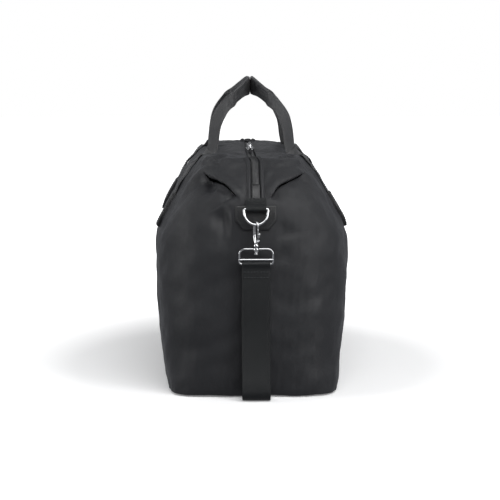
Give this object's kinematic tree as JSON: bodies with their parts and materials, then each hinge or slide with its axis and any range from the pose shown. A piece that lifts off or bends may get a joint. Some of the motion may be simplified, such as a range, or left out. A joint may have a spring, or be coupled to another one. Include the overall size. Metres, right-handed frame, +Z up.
{
  "type": "weekender bag",
  "caption": "Soft nylon weekender bag on a stiff base, with a two-way zip mouth, two webbing handles and a clipped webbing shoulder strap.",
  "frame": {"origin": "on the floor, under the middle of the bag", "axes": "+Z up, +X along the bag's length towards its far end, -Y out of the front face that has the badge"},
  "size_m": [0.4912, 0.2748, 0.425],
  "materials": {
    "shell_nylon": "satin nylon twill",
    "webbing": "ribbed seat-belt webbing",
    "leather_trim": "fine pebbled grain, satin",
    "lining_cloth": "plain woven lining",
    "board": "matt stiffener board",
    "zip_tape": "woven zip tape and coil",
    "hardware": "polished nickel plate"
  },
  "bodies": {
    "shell": {"base_panel": "leather_trim", "base_board": "board", "foot_front_near": "hardware", "foot_front_far": "hardware", "foot_rear_near": "hardware", "foot_rear_far": "hardware", "front_panel_lower": "shell_nylon", "rear_panel_lower": "shell_nylon", "end_panel_near": "shell_nylon", "end_panel_far": "shell_nylon", "roof_end_near": "shell_nylon", "roof_end_far": "shell_nylon", "lining_tub": "lining_cloth", "inner_pocket": "lining_cloth", "inner_pocket_zip": "zip_tape", "zip_end_near": "zip_tape", "zip_end_far": "zip_tape", "zip_cap_near": "leather_trim", "zip_cap_far": "leather_trim", "ring_patch_near": "leather_trim", "ring_patch_far": "leather_trim", "ring_tab_near": "webbing", "ring_tab_far": "webbing", "front_badge": "leather_trim", "strap_run_near": "webbing", "strap_run_far": "webbing", "strap_under": "webbing"},
    "mouth_front": {"front_panel_upper": "shell_nylon", "lining_flap_front": "lining_cloth", "zip_half_front": "zip_tape", "handle_leg_front_near": "webbing", "handle_leg_front_far": "webbing", "leg_patch_front_near": "leather_trim", "leg_patch_front_far": "leather_trim"},
    "mouth_rear": {"rear_panel_upper": "shell_nylon", "lining_flap_rear": "lining_cloth", "zip_half_rear": "zip_tape", "handle_leg_rear_near": "webbing", "handle_leg_rear_far": "webbing", "leg_patch_rear_near": "leather_trim", "leg_patch_rear_far": "leather_trim"},
    "handle_front": {"handle_front": "webbing"},
    "handle_rear": {"handle_rear": "webbing"},
    "slider_near": {"zip_slider_near": "hardware"},
    "pull_near": {"zip_pull_near": "hardware"},
    "ring_near": {"d_ring_near": "hardware"},
    "clip_near": {"strap_loop_near": "hardware", "strap_end_near": "webbing"},
    "hook_near": {"hook_near": "hardware"},
    "gate_near": {"hook_gate_near": "hardware"},
    "slider_far": {"zip_slider_far": "hardware"},
    "pull_far": {"zip_pull_far": "hardware"},
    "ring_far": {"d_ring_far": "hardware"},
    "clip_far": {"strap_loop_far": "hardware", "strap_end_far": "webbing"},
    "hook_far": {"hook_far": "hardware"},
    "gate_far": {"hook_gate_far": "hardware"},
    "adjuster": {"strap_adjuster": "hardware"},
    "pocket_slider": {"inner_pocket_slider": "hardware"}
  },
  "joints": [
    {"name": "mouth_front_open", "type": "hinge", "parent": "shell", "child": "mouth_front", "pos_m": [0, -0.14, 0.206], "axis": [1, 0, 0], "range_deg": [0, 25]},
    {"name": "mouth_rear_open", "type": "hinge", "parent": "shell", "child": "mouth_rear", "pos_m": [0, 0.14, 0.206], "axis": [-1, 0, 0], "range_deg": [0, 25]},
    {"name": "handle_front_swing", "type": "hinge", "parent": "mouth_front", "child": "handle_front", "pos_m": [0, -0.062, 0.3225], "axis": [1, 0, 0], "range_deg": [0, 55]},
    {"name": "handle_rear_swing", "type": "hinge", "parent": "mouth_rear", "child": "handle_rear", "pos_m": [0, 0.062, 0.3225], "axis": [-1, 0, 0], "range_deg": [0, 55]},
    {"name": "zip_slider_near_slide", "type": "slide", "parent": "shell", "child": "slider_near", "axis": [-1, 0, 0], "range_m": [0, 0.138]},
    {"name": "zip_pull_near_flip", "type": "hinge", "parent": "slider_near", "child": "pull_near", "pos_m": [-0.0105, 0, 0.3232], "axis": [0, 1, 0], "range_deg": [0, 100]},
    {"name": "clip_near_swing", "type": "hinge", "parent": "shell", "child": "clip_near", "pos_m": [-0.2275, -0.003, 0.258], "axis": [0, 1, 0], "range_deg": [0, 20]},
    {"name": "ring_near_swing", "type": "hinge", "parent": "shell", "child": "ring_near", "pos_m": [-0.2275, -0.003, 0.258], "axis": [0, 1, 0], "range_deg": [0, 20]},
    {"name": "hook_near_swivel", "type": "hinge", "parent": "clip_near", "child": "hook_near", "pos_m": [-0.23527, -0.003, 0.2038], "axis": [0, 0, 1], "range_deg": [-40, 3]},
    {"name": "gate_near_open", "type": "hinge", "parent": "hook_near", "child": "gate_near", "pos_m": [-0.23944, -0.00494, 0.2173], "axis": [-0.4226, 0.9063, 0], "range_deg": [0, 25], "stiffness_Nm_per_rad": 0.02, "springref_deg": -28.65},
    {"name": "zip_slider_far_slide", "type": "slide", "parent": "shell", "child": "slider_far", "axis": [1, 0, 0], "range_m": [0, 0.138]},
    {"name": "zip_pull_far_flip", "type": "hinge", "parent": "slider_far", "child": "pull_far", "pos_m": [0.0105, 0, 0.3232], "axis": [0, -1, 0], "range_deg": [0, 100]},
    {"name": "clip_far_swing", "type": "hinge", "parent": "shell", "child": "clip_far", "pos_m": [0.2275, -0.003, 0.258], "axis": [0, -1, 0], "range_deg": [0, 20]},
    {"name": "ring_far_swing", "type": "hinge", "parent": "shell", "child": "ring_far", "pos_m": [0.2275, -0.003, 0.258], "axis": [0, -1, 0], "range_deg": [0, 20]},
    {"name": "hook_far_swivel", "type": "hinge", "parent": "clip_far", "child": "hook_far", "pos_m": [0.23527, -0.003, 0.2038], "axis": [0, 0, -1], "range_deg": [-40, 3]},
    {"name": "gate_far_open", "type": "hinge", "parent": "hook_far", "child": "gate_far", "pos_m": [0.23944, -0.00494, 0.2173], "axis": [-0.4226, -0.9063, 0], "range_deg": [0, 25], "stiffness_Nm_per_rad": 0.02, "springref_deg": -28.65},
    {"name": "strap_adjuster_slide", "type": "slide", "parent": "clip_far", "child": "adjuster", "axis": [0, 0, 1], "range_m": [-0.02, 0.03]},
    {"name": "pocket_slider_slide", "type": "slide", "parent": "shell", "child": "pocket_slider", "axis": [1, 0, 0], "range_m": [0, 0.149]}
  ],
  "couplings": [
    {"joint": "mouth_rear_open", "follows": "mouth_front_open", "ratio": 1},
    {"joint": "zip_slider_near_slide", "follows": "mouth_front_open", "m_per_rad": 0.3163},
    {"joint": "ring_near_swing", "follows": "clip_near_swing", "ratio": 1},
    {"joint": "zip_slider_far_slide", "follows": "mouth_front_open", "m_per_rad": 0.3163},
    {"joint": "ring_far_swing", "follows": "clip_far_swing", "ratio": 1}
  ]
}
